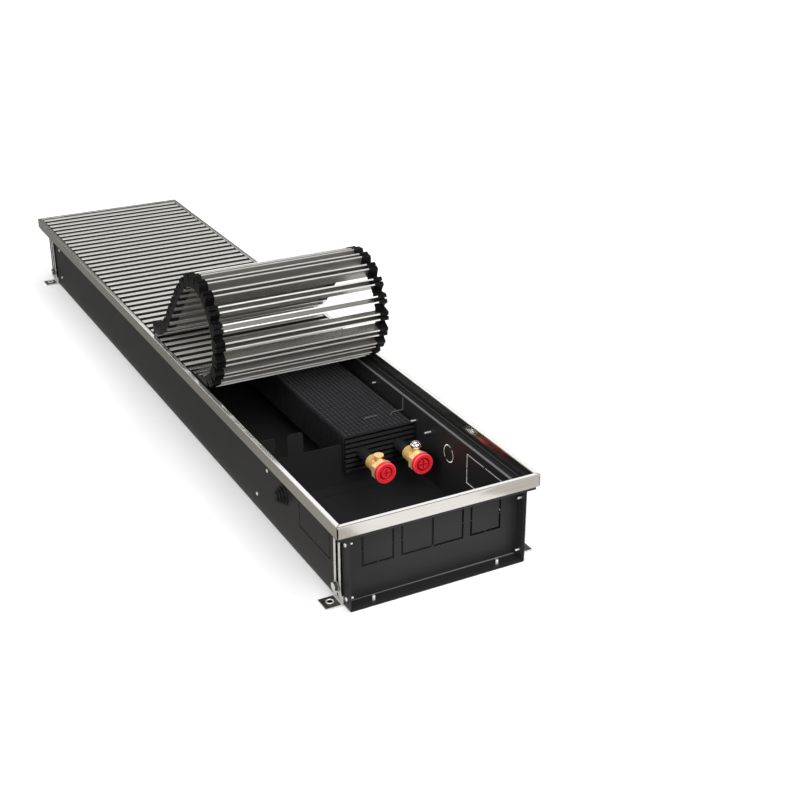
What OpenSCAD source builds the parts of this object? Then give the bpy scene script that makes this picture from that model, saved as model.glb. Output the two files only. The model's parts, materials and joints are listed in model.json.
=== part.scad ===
// Trench convector heater with a roll-up grille, shown with the near end of the grille rolled back.
// X runs across the trough, Y along it away from the valve end, Z up from the slab it stands on.

/* [Trough] */
// Length over the outer faces of the floor frame
frame_l = 1200; // [1100:10:1400]
// Width over the outer faces of the floor frame
frame_w = 250; // [240:5:300]
// Height from the slab to the walking surface
total_h = 110; // [105:1:130]
// Thickness of the folded trough sheet
sheet = 1.25; // [1:0.05:1.5]
// Radius inside a fold of the trough sheet
fold_r = 1; // [0.6:0.1:1.2]
// Step from the frame's outer face in to the trough's side walls
wall_inset = 15; // [14:0.5:18]
// Step from the frame's outer face in to the cut ends of the side walls
wall_end_inset = 3.5; // [3.2:0.1:4]
// Step from the frame's outer face in to the end plates
end_inset = 22; // [20:0.5:28]

/* [Frame] */
// Width of the flat lip round the opening
lip_w = 6; // [5.5:0.1:8]
// Height of the band outside the frame
band_h = 15; // [12:0.5:16]
// Height of the band inside the opening
inner_band_h = 12; // [8:0.5:13]
// Wall of the frame profile
frame_t = 1.5; // [1.2:0.1:1.6]
// Open slit left at each mitred corner
mitre_slit = 0.6; // [0.3:0.1:1]

/* [Grille] */
// Distance from slat to slat
slat_pitch = 19.1; // [18.6:0.1:20]
// Width of a slat's walking face
slat_w = 9.5; // [8.5:0.1:10]
// Height of a slat
slat_h = 17.5; // [16.5:0.1:18]
// Thickness of a slat's walking face
slat_top_t = 1.6; // [1.2:0.1:1.8]
// Thickness of a slat's two webs
slat_web_t = 1.3; // [1:0.1:1.6]
// Width of the bead along the foot of each web
slat_bead_w = 2; // [1.8:0.1:2.4]
// Gap between the slat ends and the frame on each side
slat_end_gap = 1; // [0.6:0.1:2]
// Length of the moulded link under each end of a slat
link_l = 12; // [9:0.5:15]
// Depth of the link hinge below the walking surface
hinge_depth = 4; // [3.8:0.1:4.4]
// Radius of the link's hinge rod
rod_r = 1.5; // [1.3:0.05:1.6]
// Thickness of the rubber strip that the grille lies on
strip_t = 1; // [0.8:0.1:1.5]

/* [Roll] */
// Turn at each hinge where the grille first lifts, in degrees
lead_turn = 5; // [4.5:0.1:5.5]
// Turn at each hinge where the grille comes back down, in degrees
fall_turn = 2; // [1.6:0.1:2.4]
// Slope of the last slat towards its free edge, in degrees
tip_dip = 9; // [8:0.5:11]

/* [Heat exchanger] */
// Width of the fins
fin_w = 97; // [88:1:97]
// Clear height between the fins and the slats
head_room = 22.5; // [20:0.5:28]
// Distance from fin to fin
fin_pitch = 6; // [5:0.5:10]
// Thickness of a fin
fin_t = 0.5; // [0.3:0.05:0.8]
// Height of the fins above the slab
fin_z = 22.6; // [18:0.2:24]
// Clear width between the fins and the right wall
fin_wall_gap = 5; // [4.5:0.1:6]
// Distance from the frame's near face to the fins
fin_start = 254; // [250:1:280]
// Distance from the frame's far face to the fins
fin_end = 70; // [66:1:90]
// Outer radius of the water tube
tube_r = 7.5; // [6.5:0.1:8]
// Wall of the water tube
tube_t = 1; // [0.8:0.1:1.5]
// Distance between the two tube runs
tube_spacing = 51; // [48:1:54]
// Length of bare tube between fins and fitting
tube_stub = 30; // [26:1:40]

/* [Fittings] */
// Length of the round collar that takes the tube
collar_l = 12; // [10:0.5:16]
// Radius of the collar
collar_r = 9.8; // [9.4:0.1:10.5]
// Length of the neck that carries the upright boss
neck_l = 9; // [9:0.5:14]
// Length of the hexagon
hex_l = 9; // [8:0.5:12]
// Width of the hexagon across its flats
hex_af = 24; // [23:0.5:26]
// Radius of the bore that takes the cap
port_r = 9.3; // [8.8:0.1:9.8]
// Height of the boss's top above the tube's axis
boss_h = 15; // [13:0.5:18]
// Radius of the boss
boss_r = 4.3; // [4:0.1:4.4]
// Radius of a cap's flange
cap_r = 13.6; // [13.2:0.1:15]
// Thickness of a cap's flange
cap_t = 6.5; // [5:0.5:9]

/* [Support brackets] */
// Clear height between the bracket's posts and the slats
post_gap = 5.5; // [4.5:0.5:8]
// Depth of the bracket's low edge below the top of the fins
saddle_drop = 12; // [8:1:20]
// Width of the bracket's foot flange
foot_flange = 20; // [14:1:22]
// Width of the bracket's wall flanges
side_flange = 13; // [12:0.5:16]
// Width of the spring clips that hold the exchanger down
clip_w = 2; // [1.5:0.1:3]
// Thickness of a clip
clip_t = 1.2; // [0.8:0.1:1.5]
// Reach of a clip over the fins
clip_reach = 52; // [46:1:60]
// Depth of a clip's dips between the fins
clip_dip = 4; // [3:0.5:6]
// Height of a clip's leg against the wall
clip_hook = 16; // [12:0.5:20]
// Width of the bars that brace the walls
spreader_w = 16; // [14:0.5:20]

/* [Levelling feet] */
// Width of a foot
foot_w = 21; // [18:0.5:24]
// Thickness of a foot
foot_t = 2; // [1.5:0.1:2.5]
// Reach of a foot's floor tab beyond the wall
foot_reach = 21; // [18:0.5:24]
// Distance from the frame's end face to a foot's centre line
foot_y = 29.5; // [28:0.5:40]
// Height of the clamping bolt above the slab
bolt_z = 20; // [18:0.5:24]
// Radius of the clamping bolt
bolt_r = 3; // [2.5:0.1:3]
// Radius of the fixing hole in the floor tab
tab_hole_r = 3.25; // [2.5:0.05:3.5]

/* [Wall cut-outs] */
// Width of the slit round a knock-out
slit = 1; // [0.6:0.1:1.4]
// Width of the nibs that hold a knock-out
nib = 3; // [2:0.5:5]
// Radius of the grommet's hole and of the round knock-out
round_cut_r = 11; // [9:0.5:12]
// Length the grommet stands out of the wall
grommet_l = 12; // [8:0.5:16]

/* [Hidden] */
// slats in each stretch of the roll: leaving the flat, round the curl, coming down, laying back
lead_n = 4;
bend_n = 11;
fall_n = 5;
lay_n = 4;
rolled_n = lead_n + bend_n + fall_n + lay_n;

function two(i) = str(i < 10 ? "0" : "", i);
function rolled_name(i) = str("grille_slat_", two(i));

// running and seating clearances
seat = 0.3;
fit = 0.15;
tube_fit = 0.05;
joint_fit = 0.1;
big = 400;
$fn = 48;

// trough
wall_x = frame_w / 2 - wall_inset;
wall_in = wall_x - sheet;
wall_y = frame_l / 2 - wall_end_inset;
opening_x = frame_w / 2 - lip_w;
opening_y = frame_l / 2 - lip_w;
fold_out = fold_r + sheet;
slat_low = total_h - slat_h;
ledge_z = slat_low - seat - strip_t;
upstand_out = opening_x + frame_t + fit + sheet;
upstand_out_y = opening_y + frame_t + fit + sheet;
upstand_top = total_h - frame_t - fit;
plate_y = frame_l / 2 - end_inset;
tray_x = wall_in - fit;
floor_z = sheet + fit;

// grille
slat_l = 2 * (opening_x - slat_end_gap);
slat_n = floor((2 * opening_y - 2) / slat_pitch);
flat_n = slat_n - rolled_n;
socket_r = rod_r + joint_fit;
socket_out = socket_r + 0.95;
sweep_r = socket_out + joint_fit;
link_top = hinge_depth - 2.5;
link_low = hinge_depth - slat_h;
link_gap = 0.3;
link_draft = 1.3;
neck_t = 1.4;
mouth = 58;
link_slot = [1.2, 6];

// heat exchanger
fin_right = wall_in - fin_wall_gap;
fin_left = fin_right - fin_w;
fin_mid = (fin_left + fin_right) / 2;
fin_top = slat_low - head_room;
fin_h = fin_top - fin_z;
fin_y0 = -frame_l / 2 + fin_start;
fin_y1 = frame_l / 2 - fin_end;
fin_n = floor((fin_y1 - fin_y0 - 4) / fin_pitch);
ridge_n = 7;
ridge_d = 2.4;
end_fin_t = 0.8;
collar_t = 0.6;
tube_z = fin_z + fin_h / 2;
return_x = fin_mid - tube_spacing / 2;
supply_x = fin_mid + tube_spacing / 2;
fitting_y = fin_y0 - tube_stub;
tube_in = 8;

// fittings, measured along the tube from the fitting's back face
neck_y = fitting_y - collar_l;
hex_y = neck_y - neck_l;
face_y = hex_y - hex_l;
boss_y = neck_y - neck_l / 2;
neck_r = collar_r - 1.8;
boss_top = tube_z + boss_h;
boss_bore = boss_r - 1.1;
port_depth = hex_l - 2;
water_r = tube_r - tube_t;

// support brackets
bracket_near_y = fin_y0 + 8;
bracket_far_y = fin_y1 - 8;
bracket_gap = 0.5;
post_top = slat_low - post_gap;
saddle_top = fin_top - saddle_drop;
clip_gaps = [5, fin_n - 7];
spreader_y = 100;
spreader_z = fin_top + 4;
spreader_h = 9;
spreader_tab = 5;

// feet
foot_in = wall_x + fit;
foot_out = foot_in + foot_t;
foot_top = ledge_z - sheet - 2;
foot_cy = frame_l / 2 - foot_y;
tab_x = foot_out + (foot_reach - foot_t) / 2;
washer_t = 1.2;
washer_r = 2.1 * bolt_r;
head_h = 4;

// knock-outs and the screws beside them, from the frame's near or far face
side_cut_y = frame_l / 2 - 91.5;
round_cut_y = frame_l / 2 - 175;
cut_z = total_h / 2 + 5;
side_cut = [79, 38];
end_cut = [37, 37];
screw_r = 1.8;
screw_head_r = 3.4;
tip_l = 7;
bracket_screw_y = 6;
short_tip_l = 3;
right_screws = [
    [-bracket_near_y + bracket_screw_y, fin_top + 1, tip_l],
    [-bracket_near_y + bracket_screw_y, fin_z - 0.6, tip_l],
    [-bracket_near_y + 42, fin_top, tip_l],
    [-bracket_near_y - 108, fin_top + 8, short_tip_l]
];
left_screws = [right_screws[1], right_screws[2]];
spreader_screw_z = spreader_z + 4.5;

// colours
black_paint = [0.16, 0.16, 0.16];
aluminium = [0.82, 0.81, 0.78];
link_black = [0.1, 0.1, 0.11];
brass = [0.8, 0.63, 0.35];
steel = [0.6, 0.6, 0.58];
cap_red = [0.9, 0.12, 0.16];

// plain helpers

module box(x0, x1, y0, y1, z0, z1) {
    translate([x0, y0, z0])
        cube([x1 - x0, y1 - y0, z1 - z0]);
}

// a flat shape drawn in X and Z, given thickness t from y onward
module upright(y, t) {
    translate([0, y + t, 0])
        rotate([90, 0, 0])
            linear_extrude(t)
                children();
}

// a flat shape drawn in Y and Z, given thickness t from x onward
module sideways(x, t) {
    translate([x, 0, 0])
        rotate([90, 0, 90])
            linear_extrude(t)
                children();
}

// a cylinder along Y from y0 to y1
module rod_y(x, z, y0, y1, r) {
    translate([x, y1, z])
        rotate([90, 0, 0])
            cylinder(r = r, h = y1 - y0);
}

// a cylinder along X from x0 to x1
module rod_x(y, z, x0, x1, r) {
    translate([x0, y, z])
        rotate([0, 90, 0])
            cylinder(r = r, h = x1 - x0);
}

module both_sides() {
    children();
    mirror([1, 0, 0])
        children();
}

module both_ends() {
    children();
    mirror([0, 1, 0])
        children();
}

// an upright tongue with round upper corners
module tongue(x0, x1, z1, r) {
    translate([x0, 0])
        square([x1 - x0, z1 - r]);
    translate([x0 + r, 0])
        square([x1 - x0 - 2 * r, z1]);
    for (x = [x0 + r, x1 - r])
        translate([x, z1 - r])
            circle(r);
}

// the slit round a rectangular knock-out, broken by a nib in each side
module slit_rect(size) {
    difference() {
        square([size.x + slit, size.y + slit], center = true);
        square([size.x - slit, size.y - slit], center = true);
        square([nib, size.y + 2 * slit], center = true);
        square([size.x + 2 * slit, nib], center = true);
    }
}

// the slit round a round knock-out
module slit_ring(r) {
    difference() {
        circle(r + slit / 2);
        circle(r - slit / 2);
        rotate(35)
            square([nib, 3 * r], center = true);
    }
}

// a quarter ring that joins two flats of thickness t, turned by a
module fold(x, z, r, t, a) {
    translate([x, z])
        rotate(a)
            intersection() {
                difference() {
                    circle(r + t);
                    circle(r);
                }
                square(r + t);
            }
}

// Trough

// floor, wall and ledge of one side, with a fold between each two
module trough_half_section() {
    square([wall_x - fold_out, sheet]);
    fold(wall_x - fold_out, fold_out, fold_r, sheet, -90);
    translate([wall_in, fold_out])
        square([sheet, ledge_z - 2 * fold_out]);
    fold(wall_x + fold_r, ledge_z - fold_out, fold_r, sheet, 90);
    translate([wall_x + fold_r, ledge_z - sheet])
        square([upstand_out - wall_x - fold_r, sheet]);
}

module trough() {
    color(black_paint)
        difference() {
            upright(-wall_y, 2 * wall_y) {
                trough_half_section();
                mirror([1, 0])
                    trough_half_section();
            }
            // rectangular knock-outs at the valve end of both walls
            both_sides()
                sideways(wall_in - 1, sheet + 2)
                    translate([-side_cut_y, cut_z])
                        slit_rect(side_cut);
            // round knock-out in the right wall, grommet hole in the left one
            sideways(wall_in - 1, sheet + 2)
                translate([-round_cut_y, cut_z])
                    slit_ring(round_cut_r);
            rod_x(-round_cut_y, cut_z, -wall_x - 1, -wall_in + 1, round_cut_r);
            // holes for the feet's bolts
            both_sides()
                both_ends()
                    rod_x(-foot_cy, bolt_z, wall_in - 1, wall_x + 1, bolt_r + fit);
            // holes for the small screws
            for (s = right_screws)
                rod_x(-s.x, s.y, wall_in - 1, wall_x + 1, screw_r + tube_fit);
            for (s = left_screws)
                rod_x(-s.x, s.y, -wall_x - 1, -wall_in + 1, screw_r + tube_fit);
            both_sides() {
                both_ends() {
                    rod_x(-spreader_y, spreader_screw_z, wall_in - 1, wall_x + 1, screw_r + tube_fit);
                    for (z = end_screw_z)
                        rod_x(-end_screw_y, z, wall_in - 1, wall_x + 1, screw_r + tube_fit);
                    translate([end_screw_x, -end_screw_y, -1])
                        cylinder(r = screw_r + tube_fit, h = sheet + 2);
                }
                for (k = [0, 1])
                    rod_x(bracket_far_y + bracket_screw_y, right_screws[k].y, wall_in - 1, wall_x + 1, screw_r + tube_fit);
            }
        }
}

// End plates: a tray open outwards, with a ledge that carries on over the ends of the walls

end_screw_y = (plate_y + wall_y) / 2 + 2;
end_screw_x = 78;
end_screw_z = [13, ledge_z - 11];
tray_y = wall_y - 1.5;

module end_plate() {
    relief = fold_r + seat;
    color(black_paint)
        difference() {
            union() {
                difference() {
                    box(-tray_x, tray_x, -tray_y, -plate_y, floor_z, ledge_z);
                    box(-tray_x + sheet, tray_x - sheet, -tray_y - 1, -plate_y - sheet, floor_z + sheet, ledge_z - sheet);
                }
                box(-tray_x, tray_x, -upstand_out_y, -tray_y + 1, ledge_z - sheet, ledge_z);
            }
            upright(-plate_y - sheet - 1, sheet + 2)
                translate([0, cut_z + 1]) {
                    slit_rect([2 * end_cut.x + 2, end_cut.y]);
                    square([slit, end_cut.y - nib], center = true);
                    for (s = [-1, 1])
                        translate([s * 67.5, 0])
                            slit_rect(end_cut);
                }
            both_sides() {
                for (z = end_screw_z)
                    rod_x(-end_screw_y, z, tray_x - sheet - 1, tray_x + 1, screw_r + tube_fit);
                translate([end_screw_x, -end_screw_y, floor_z - 1])
                    cylinder(r = screw_r + tube_fit, h = sheet + 2);
                // corner relief over the trough's lower fold
                box(tray_x - relief, tray_x + 1, -tray_y - 1, -plate_y + 1, floor_z - 1, floor_z + relief);
            }
        }
}

module end_plate_near() {
    end_plate();
}

module end_plate_far() {
    mirror([0, 1, 0])
        end_plate();
}

// Upstands: bars that stand along the outer edge of the ledges, for the frame to sit over

module frame_upstands() {
    color(black_paint) {
        both_sides()
            box(upstand_out - sheet, upstand_out, -wall_y, wall_y, ledge_z, upstand_top);
        both_ends()
            box(-upstand_out + sheet + fit, upstand_out - sheet - fit, -upstand_out_y, -upstand_out_y + sheet, ledge_z, upstand_top);
    }
}

// Frame: four mitred rails of one profile, joined by a key at each corner

// outer band, lip and inner band, drawn from the outer face inwards
module rail_section() {
    polygon([
        [0, -band_h], [frame_t, -band_h], [frame_t, -frame_t], [lip_w - frame_t, -frame_t],
        [lip_w - frame_t, -inner_band_h], [lip_w, -inner_band_h], [lip_w, -0.5], [lip_w - 0.5, 0],
        [0.6, 0], [0, -0.6]
    ]);
}

// rail along Y on the right, with 45 degree ends
module long_rail() {
    intersection() {
        translate([frame_w / 2, frame_l / 2, total_h])
            rotate([90, 0, 0])
                linear_extrude(frame_l)
                    mirror([1, 0])
                        rail_section();
        linear_extrude(2 * total_h)
            polygon([
                [frame_w / 2 + 1, -frame_l / 2 - 1 + mitre_slit], [frame_w / 2 + 1, frame_l / 2 + 1 - mitre_slit],
                [frame_w / 2 - 30, frame_l / 2 - 30 - mitre_slit], [frame_w / 2 - 30, -frame_l / 2 + 30 + mitre_slit]
            ]);
    }
}

// rail along X at the near end
module short_rail() {
    intersection() {
        translate([-frame_w / 2, -frame_l / 2, total_h])
            rotate([90, 0, 90])
                linear_extrude(frame_w)
                    rail_section();
        linear_extrude(2 * total_h)
            polygon([
                [-frame_w / 2 - 1, -frame_l / 2 - 1], [frame_w / 2 + 1, -frame_l / 2 - 1],
                [frame_w / 2 - 30, -frame_l / 2 + 30], [-frame_w / 2 + 30, -frame_l / 2 + 30]
            ]);
    }
}

module frame_rail_left() {
    color(aluminium)
        mirror([1, 0, 0])
            long_rail();
}

module frame_rail_right() {
    color(aluminium)
        long_rail();
}

module frame_rail_near() {
    color(aluminium)
        short_rail();
}

module frame_rail_far() {
    color(aluminium)
        mirror([0, 1, 0])
            short_rail();
}

// each key is a small angle that lies in both rails' channels, outside the upstands
key_l = 16;
key_t = upstand_gap() - 2 * fit;
key_h = band_h - frame_t - 2;

function upstand_gap() = frame_w / 2 - frame_t - upstand_out;

module frame_corner_keys() {
    kx = frame_w / 2 - frame_t - fit;
    ky = frame_l / 2 - frame_t - fit;
    z1 = total_h - frame_t - fit;
    color(steel)
        both_sides()
            both_ends() {
                box(kx - key_t, kx, -ky, -ky + key_l, z1 - key_h, z1);
                box(kx - key_l, kx, -ky, -ky + key_t, z1 - key_h, z1);
            }
}

// Rubber strips on the ledges, under the ends of the slats

strip_in = wall_x + fold_r;
strip_out = opening_x - seat;
strip_y = opening_y - 1;

module rubber_strips() {
    color(link_black)
        both_sides()
            box(strip_in, strip_out, -strip_y, strip_y, ledge_z, ledge_z + strip_t);
}

// Grille
// A slat is drawn in its own frame: its hinge towards the flat part is at the origin, it reaches
// along -Y to the next hinge, and the walking surface is hinge_depth above the hinges.

module slat_section() {
    half = slat_w / 2;
    z0 = link_low;
    top = hinge_depth;
    translate([-slat_pitch / 2, 0])
        difference() {
            polygon([
                [-half, z0], [half, z0], [half, top - 0.4], [half - 0.4, top],
                [-half + 0.4, top], [-half, top - 0.4]
            ]);
            polygon([
                [-half + slat_bead_w, z0 - 1], [half - slat_bead_w, z0 - 1], [half - slat_bead_w, z0 + 1.2],
                [half - slat_web_t, z0 + 2.2], [half - slat_web_t, top - slat_top_t],
                [-half + slat_web_t, top - slat_top_t], [-half + slat_web_t, z0 + 2.2],
                [-half + slat_bead_w, z0 + 1.2]
            ]);
        }
}

// the webs stop short of the links, and the walking face runs on over them
module slat_bar() {
    core = slat_l / 2 - link_l - fit;
    color(aluminium)
        difference() {
            sideways(-slat_l / 2, slat_l)
                slat_section();
            both_sides()
                box(core, slat_l / 2 + 1, -slat_pitch, 0, link_low - 1, hinge_depth - slat_top_t);
        }
}

module link_section(has_rod) {
    far = -slat_pitch;
    side = link_gap;
    knee = -2.4;
    half = slat_w / 2;
    under = hinge_depth - slat_top_t - fit;
    difference() {
        polygon([
            [-side - link_draft, link_low], [far + side + link_draft, link_low], [far + side, knee],
            [far + side, link_top], [far / 2 - half, link_top], [far / 2 - half, under],
            [far / 2 + half, under], [far / 2 + half, link_top], [-side, link_top], [-side, knee]
        ]);
        circle(sweep_r);
        translate([far, 0])
            circle(sweep_r);
        translate([far / 2 - link_slot.x / 2, link_low - 1])
            square([link_slot.x, link_slot.y + 1]);
    }
    // the rod that the next link hinges on
    if (has_rod) {
        translate([far, 0])
            circle(rod_r);
        translate([far + rod_r / 2, -neck_t / 2])
            square([sweep_r + 0.6, neck_t]);
    }
    // the C-shaped socket round the last link's rod
    difference() {
        union() {
            circle(socket_out);
            translate([-sweep_r - 0.6, -neck_t])
                square([sweep_r, 2 * neck_t]);
        }
        circle(socket_r);
        polygon([[0, 0], [2 * socket_out, -2 * socket_out * tan(mouth)], [2 * socket_out, 2 * socket_out * tan(mouth)]]);
    }
}

module slat_links(has_rod = true) {
    color(link_black)
        both_sides()
            sideways(slat_l / 2 - link_l, link_l)
                link_section(has_rod);
}

// y of the hinge on the far side of slat k, counted from the near end
function hinge_y(k) = (k - (slat_n - 1) / 2) * slat_pitch + slat_pitch / 2;

module grille_flat_slats() {
    for (k = [rolled_n:slat_n - 1])
        translate([0, hinge_y(k), total_h - hinge_depth])
            slat_bar();
}

module grille_flat_links() {
    for (k = [rolled_n:slat_n - 1])
        translate([0, hinge_y(k), total_h - hinge_depth])
            slat_links();
}

// Roll: the turn at each hinge is constant within a stretch. The curl's turn is found so that the
// free edge comes to rest just above the flat slats, and the last stretch lays the rest back level.

function lay_turn(bend) =
    (lead_n * lead_turn + bend_n * bend + fall_n * fall_turn - 180 - tip_dip) / lay_n;

function turn(i, bend) =
    i <= lead_n ? lead_turn
    : i <= lead_n + bend_n ? bend
    : i <= lead_n + bend_n + fall_n ? fall_turn
    : -lay_turn(bend);

// heading of slat i above the flat, in degrees
function heading(i, bend) = i < 1 ? 0 : heading(i - 1, bend) + turn(i, bend);

// where hinge i stands, from the first hinge
function hinge_at(i, bend) =
    i <= 1 ? [0, 0]
    : hinge_at(i - 1, bend) + slat_pitch * [-cos(heading(i - 1, bend)), sin(heading(i - 1, bend))];

// height of the last slat's free edge above the flat walking surface
function tip_height(bend) =
    hinge_at(rolled_n, bend).y + (slat_pitch / 2 + slat_w / 2) * sin(heading(rolled_n, bend))
    + hinge_depth * cos(heading(rolled_n, bend)) - hinge_depth;

function solve_bend(low, high, steps) =
    steps == 0 ? (low + high) / 2
    : tip_height((low + high) / 2) > seat ? solve_bend((low + high) / 2, high, steps - 1)
    : solve_bend(low, (low + high) / 2, steps - 1);

bend_turn = solve_bend(17, 23, 24);

module rolled_slat(i) {
    p = hinge_at(i, bend_turn);
    translate([0, hinge_y(rolled_n - 1) + p.x, total_h - hinge_depth + p.y])
        rotate([-heading(i, bend_turn), 0, 0]) {
            slat_bar();
            slat_links(i < rolled_n);
        }
}

// Heat exchanger

module tube_holes(r) {
    for (x = [return_x, supply_x])
        translate([x, tube_z])
            circle(r);
}

// plain fins, joined by the collars that are drawn out of them round both tubes
module exchanger_fins() {
    reach = (fin_n - 1) / 2 * fin_pitch;
    mid = (fin_y0 + fin_y1) / 2;
    color(black_paint)
        difference() {
            union() {
                for (i = [0:fin_n - 1])
                    upright(mid - reach + i * fin_pitch - fin_t / 2, fin_t)
                        translate([fin_left, fin_z])
                            square([fin_w, fin_h]);
                upright(mid - reach, 2 * reach)
                    tube_holes(tube_r + tube_fit + collar_t);
            }
            upright(mid - reach - fin_t, 2 * reach + 2 * fin_t)
                tube_holes(tube_r + tube_fit);
        }
}

// outline of a corrugated end fin in Y and Z, ridged along X
function ridge_line(y, step) = [
    for (k = [0:2 * ridge_n])
        [y + (k % 2 == 0 ? 0 : step), fin_z + k * fin_h / (2 * ridge_n)]
];

function backwards(list) = [for (k = [len(list) - 1:-1:0]) list[k]];

module end_fin() {
    difference() {
        sideways(fin_left, fin_w)
            polygon(concat(ridge_line(fin_y0 - ridge_d, ridge_d), backwards(ridge_line(fin_y0 - ridge_d + end_fin_t, ridge_d))));
        for (x = [return_x, supply_x])
            rod_y(x, tube_z, fin_y0 - 10, fin_y0 + 10, tube_r + tube_fit);
    }
}

module exchanger_end_fins() {
    color(black_paint) {
        end_fin();
        translate([0, fin_y0 + fin_y1, 0])
            mirror([0, 1, 0])
                end_fin();
    }
}

// two straight runs joined by a return bend behind the last fin
module tube_solid(r, extra) {
    bend_y = fin_y1 + 4;
    for (x = [return_x, supply_x])
        rod_y(x, tube_z, fitting_y - tube_in - extra, bend_y, r);
    translate([fin_mid, bend_y, tube_z])
        rotate_extrude(angle = 180)
            translate([tube_spacing / 2, 0])
                circle(r);
}

module exchanger_tube() {
    color(black_paint)
        difference() {
            tube_solid(tube_r, 0);
            tube_solid(tube_r - tube_t, 1);
        }
}

// Support brackets: a plate across the trough with a saddle for the exchanger, a foot flange
// and a flange against each wall

module bracket_outline() {
    left = -tray_x + sheet;
    low = fin_z - bracket_gap;
    difference() {
        union() {
            translate([left, floor_z])
                square([2 * tray_x - 2 * sheet, saddle_top - floor_z]);
            translate([0, floor_z]) {
                tongue(left, left + 25, post_top - floor_z, 3);
                tongue(left + 41, left + 62, post_top - floor_z, 4);
                tongue(fin_right + bracket_gap, tray_x - sheet, fin_top - floor_z, 0.8);
            }
        }
        // the exchanger's seat
        translate([fin_left - bracket_gap, low])
            square([fin_w + 2 * bracket_gap, fin_h + 60]);
    }
}

module support_bracket(y) {
    color(black_paint)
        difference() {
            union() {
                upright(y, sheet)
                    bracket_outline();
                box(-tray_x + sheet, tray_x - sheet, y - foot_flange, y + sheet, floor_z, floor_z + sheet);
                both_sides()
                    box(tray_x - sheet, tray_x, y - side_flange, y + sheet, floor_z + fold_r, fin_top + 6);
            }
            both_sides()
                for (k = [0, 1])
                    rod_x(y - bracket_screw_y, right_screws[k].y, tray_x - sheet - 1, tray_x + 1, screw_r + tube_fit);
        }
}

module support_bracket_near() {
    support_bracket(bracket_near_y);
}

module support_bracket_far() {
    translate([0, bracket_far_y, 0])
        mirror([0, 1, 0])
            support_bracket(0);
}

// clips over the exchanger: a leg up the right wall, then along a fin with two dips beside it
function clip_line(z) = [
    [fin_right - clip_reach, z - clip_dip], [fin_right - clip_reach + 2, z],
    [fin_right - clip_reach + 19, z], [fin_right - clip_reach + 22, z - clip_dip],
    [fin_right - 14, z - clip_dip], [fin_right - 11, z]
];

module exchanger_clips() {
    z = fin_top + seat + clip_t;
    first = (fin_y0 + fin_y1) / 2 - (fin_n - 1) / 2 * fin_pitch;
    color(black_paint)
        for (k = clip_gaps)
            upright(first + k * fin_pitch + fin_t / 2 + seat, clip_w)
                polygon(concat(
                    clip_line(z),
                    [[tray_x - clip_t, z], [tray_x - clip_t, z + clip_hook], [tray_x, z + clip_hook], [tray_x, z - clip_t]],
                    backwards(clip_line(z - clip_t))
                ));
}

// angle bars that keep the two walls apart
module spreader_bars() {
    y0 = -spreader_y - spreader_w / 2;
    y1 = -spreader_y + spreader_w / 2;
    top = spreader_z + spreader_h;
    color(black_paint)
        both_ends()
            difference() {
                union() {
                    box(-tray_x, tray_x, y0, y1, spreader_z, spreader_z + sheet);
                    box(-tray_x, tray_x, y1 - sheet, y1, spreader_z, top);
                    both_sides()
                        box(tray_x - sheet, tray_x, y0, y1, spreader_z - spreader_tab, top);
                }
                both_sides()
                    rod_x(-spreader_y, spreader_screw_z, tray_x - sheet - 1, tray_x + 1, screw_r + tube_fit);
            }
}

// Fittings on the tube ends

module fitting(x) {
    color(brass)
        difference() {
            union() {
                rod_y(x, tube_z, neck_y, fitting_y, collar_r);
                rod_y(x, tube_z, hex_y, neck_y, neck_r);
                translate([x, hex_y, tube_z])
                    rotate([90, 30, 0])
                        cylinder(r = hex_af / 2 / cos(30), h = hex_l, $fn = 6);
                translate([x, boss_y, tube_z])
                    cylinder(r = boss_r, h = boss_h);
            }
            rod_y(x, tube_z, fitting_y - tube_in - fit, fitting_y + 1, tube_r + tube_fit);
            rod_y(x, tube_z, face_y + 1, fitting_y, water_r);
            rod_y(x, tube_z, face_y - 1, face_y + port_depth, port_r);
            translate([x, boss_y, tube_z])
                cylinder(r = boss_bore, h = boss_h + 1);
        }
}

module fitting_return() {
    fitting(return_x);
}

module fitting_supply() {
    fitting(supply_x);
}

module blanking_plug() {
    color(brass)
        translate([return_x, boss_y, boss_top]) {
            translate([0, 0, fit])
                cylinder(r = 6.3, h = 1.6);
            translate([0, 0, -4])
                cylinder(r = boss_bore - tube_fit, h = 4 + 2 * fit);
        }
}

vent_r = 7.2;
vent_h = 6.5;
spindle_r = 2.4;

module air_vent_body() {
    color([0.8, 0.8, 0.8])
        translate([supply_x, boss_y, boss_top + fit])
            difference() {
                union() {
                    cylinder(r = vent_r, h = vent_h);
                    translate([0, 0, -4])
                        cylinder(r = boss_bore - tube_fit, h = 4.1);
                }
                // grip flutes
                for (a = [0:30:330])
                    rotate(a)
                        translate([vent_r + 0.5, 0, 1.2])
                            cylinder(r = 1.2, h = vent_h);
                translate([0, 0, 2])
                    cylinder(r = spindle_r + joint_fit, h = vent_h);
            }
}

module air_vent_spindle() {
    color([0.8, 0.8, 0.8])
        translate([supply_x, boss_y, boss_top + fit + 2 + joint_fit])
            difference() {
                cylinder(r = spindle_r, h = vent_h - 1);
                translate([-spindle_r - 1, -0.5, vent_h - 2])
                    cube([2 * spindle_r + 2, 1, 2]);
            }
}

// Red push-in caps with a ring and a cross sunk in the face

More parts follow.
